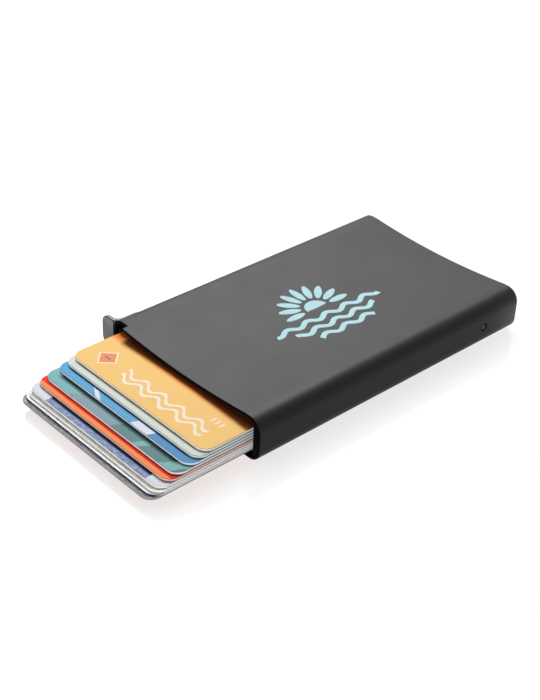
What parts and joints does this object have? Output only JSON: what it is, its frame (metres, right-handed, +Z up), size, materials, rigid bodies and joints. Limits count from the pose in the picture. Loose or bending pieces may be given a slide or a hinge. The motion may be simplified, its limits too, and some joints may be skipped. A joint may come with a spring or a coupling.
{
  "type": "card holder",
  "caption": "Slim dished aluminium card holder with a thumb tab that fans out a stack of cards from its open mouth through a stepped swinging ejector arm.",
  "frame": {"origin": "middle of the underside of the whole model's box at rest, with the cards fanned out", "axes": "+Y along the case from its mouth towards its closed far end, +Z up from the strips it rests on, +X across the case away from the thumb tab"},
  "size_m": [0.0662, 0.1282, 0.0128],
  "materials": {
    "anodised_graphite": "fine matt anodised finish, dark graphite grey",
    "tab_graphite": "fine matt anodised finish, a little lighter than the case",
    "black_plastic": "matt moulded plastic",
    "slider_plastic": "matt moulded plastic",
    "arm_plastic": "matt glass-filled plastic",
    "pin_steel": "turned steel",
    "small_steel": "plain steel",
    "spring_steel": "rolled spring steel",
    "black_felt": "short black felt",
    "card_1_orange": "satin laminated card, warm orange",
    "card_2_pale": "satin laminated card, pale green-white",
    "card_3_blue": "satin laminated card, sky blue with white bands",
    "card_4_teal": "satin laminated card, a fine teal pattern",
    "card_5_red": "satin laminated card, orange-red",
    "card_6_violet": "satin laminated card, a fine violet-blue pattern",
    "card_7_cream": "satin laminated card, cream",
    "card_8_white": "satin laminated card, white",
    "card_9_grey": "satin laminated card, grey"
  },
  "bodies": {
    "case": {"case_shell": "anodised_graphite", "end_plug": "black_plastic", "card_guide": "black_plastic", "retention_pin": "pin_steel", "card_spring": "spring_steel", "spring_rivet_left": "small_steel", "spring_rivet_right": "small_steel", "felt_strip_left": "black_felt", "felt_strip_right": "black_felt"},
    "slider": {"slider_rail": "slider_plastic", "thumb_tab": "tab_graphite", "tab_screw_front": "small_steel", "tab_screw_rear": "small_steel", "arm_pivot_rivet": "small_steel"},
    "ejector": {"ejector_arm": "arm_plastic"},
    "card_1": {"card_1_orange": "card_1_orange"},
    "card_2": {"card_2_pale": "card_2_pale"},
    "card_3": {"card_3_blue": "card_3_blue"},
    "card_4": {"card_4_teal": "card_4_teal"},
    "card_5": {"card_5_red": "card_5_red"},
    "card_6": {"card_6_violet": "card_6_violet"},
    "card_7": {"card_7_cream": "card_7_cream"},
    "card_8": {"card_8_white": "card_8_white"},
    "card_9": {"card_9_grey": "card_9_grey"}
  },
  "joints": [
    {"name": "slider_slide", "type": "slide", "parent": "case", "child": "slider", "axis": [0, 1, 0], "range_m": [0, 0.0327]},
    {"name": "ejector_swing", "type": "hinge", "parent": "slider", "child": "ejector", "pos_m": [-0.022, 0.0243, 0.0026], "axis": [0, 0, -1], "range_deg": [0, 40]},
    {"name": "card_1_slide", "type": "slide", "parent": "case", "child": "card_1", "axis": [0, 1, 0], "range_m": [0, 0.01636]},
    {"name": "card_2_slide", "type": "slide", "parent": "case", "child": "card_2", "axis": [0, 1, 0], "range_m": [0, 0.01871]},
    {"name": "card_3_slide", "type": "slide", "parent": "case", "child": "card_3", "axis": [0, 1, 0], "range_m": [0, 0.02131]},
    {"name": "card_4_slide", "type": "slide", "parent": "case", "child": "card_4", "axis": [0, 1, 0], "range_m": [0, 0.02521]},
    {"name": "card_5_slide", "type": "slide", "parent": "case", "child": "card_5", "axis": [0, 1, 0], "range_m": [0, 0.02751]},
    {"name": "card_6_slide", "type": "slide", "parent": "case", "child": "card_6", "axis": [0, 1, 0], "range_m": [0, 0.03001]},
    {"name": "card_7_slide", "type": "slide", "parent": "case", "child": "card_7", "axis": [0, 1, 0], "range_m": [0, 0.03081]},
    {"name": "card_8_slide", "type": "slide", "parent": "case", "child": "card_8", "axis": [0, 1, 0], "range_m": [0, 0.03181]},
    {"name": "card_9_slide", "type": "slide", "parent": "case", "child": "card_9", "axis": [0, 1, 0], "range_m": [0, 0.03271]}
  ],
  "couplings": [
    {"joint": "ejector_swing", "follows": "slider_slide", "rad_per_m": 21.34},
    {"joint": "card_1_slide", "follows": "slider_slide", "ratio": 0.5},
    {"joint": "card_2_slide", "follows": "slider_slide", "ratio": 0.572},
    {"joint": "card_3_slide", "follows": "slider_slide", "ratio": 0.6515},
    {"joint": "card_4_slide", "follows": "slider_slide", "ratio": 0.7705},
    {"joint": "card_5_slide", "follows": "slider_slide", "ratio": 0.841},
    {"joint": "card_6_slide", "follows": "slider_slide", "ratio": 0.9175},
    {"joint": "card_7_slide", "follows": "slider_slide", "ratio": 0.942},
    {"joint": "card_8_slide", "follows": "slider_slide", "ratio": 0.9725},
    {"joint": "card_9_slide", "follows": "slider_slide", "ratio": 1}
  ]
}
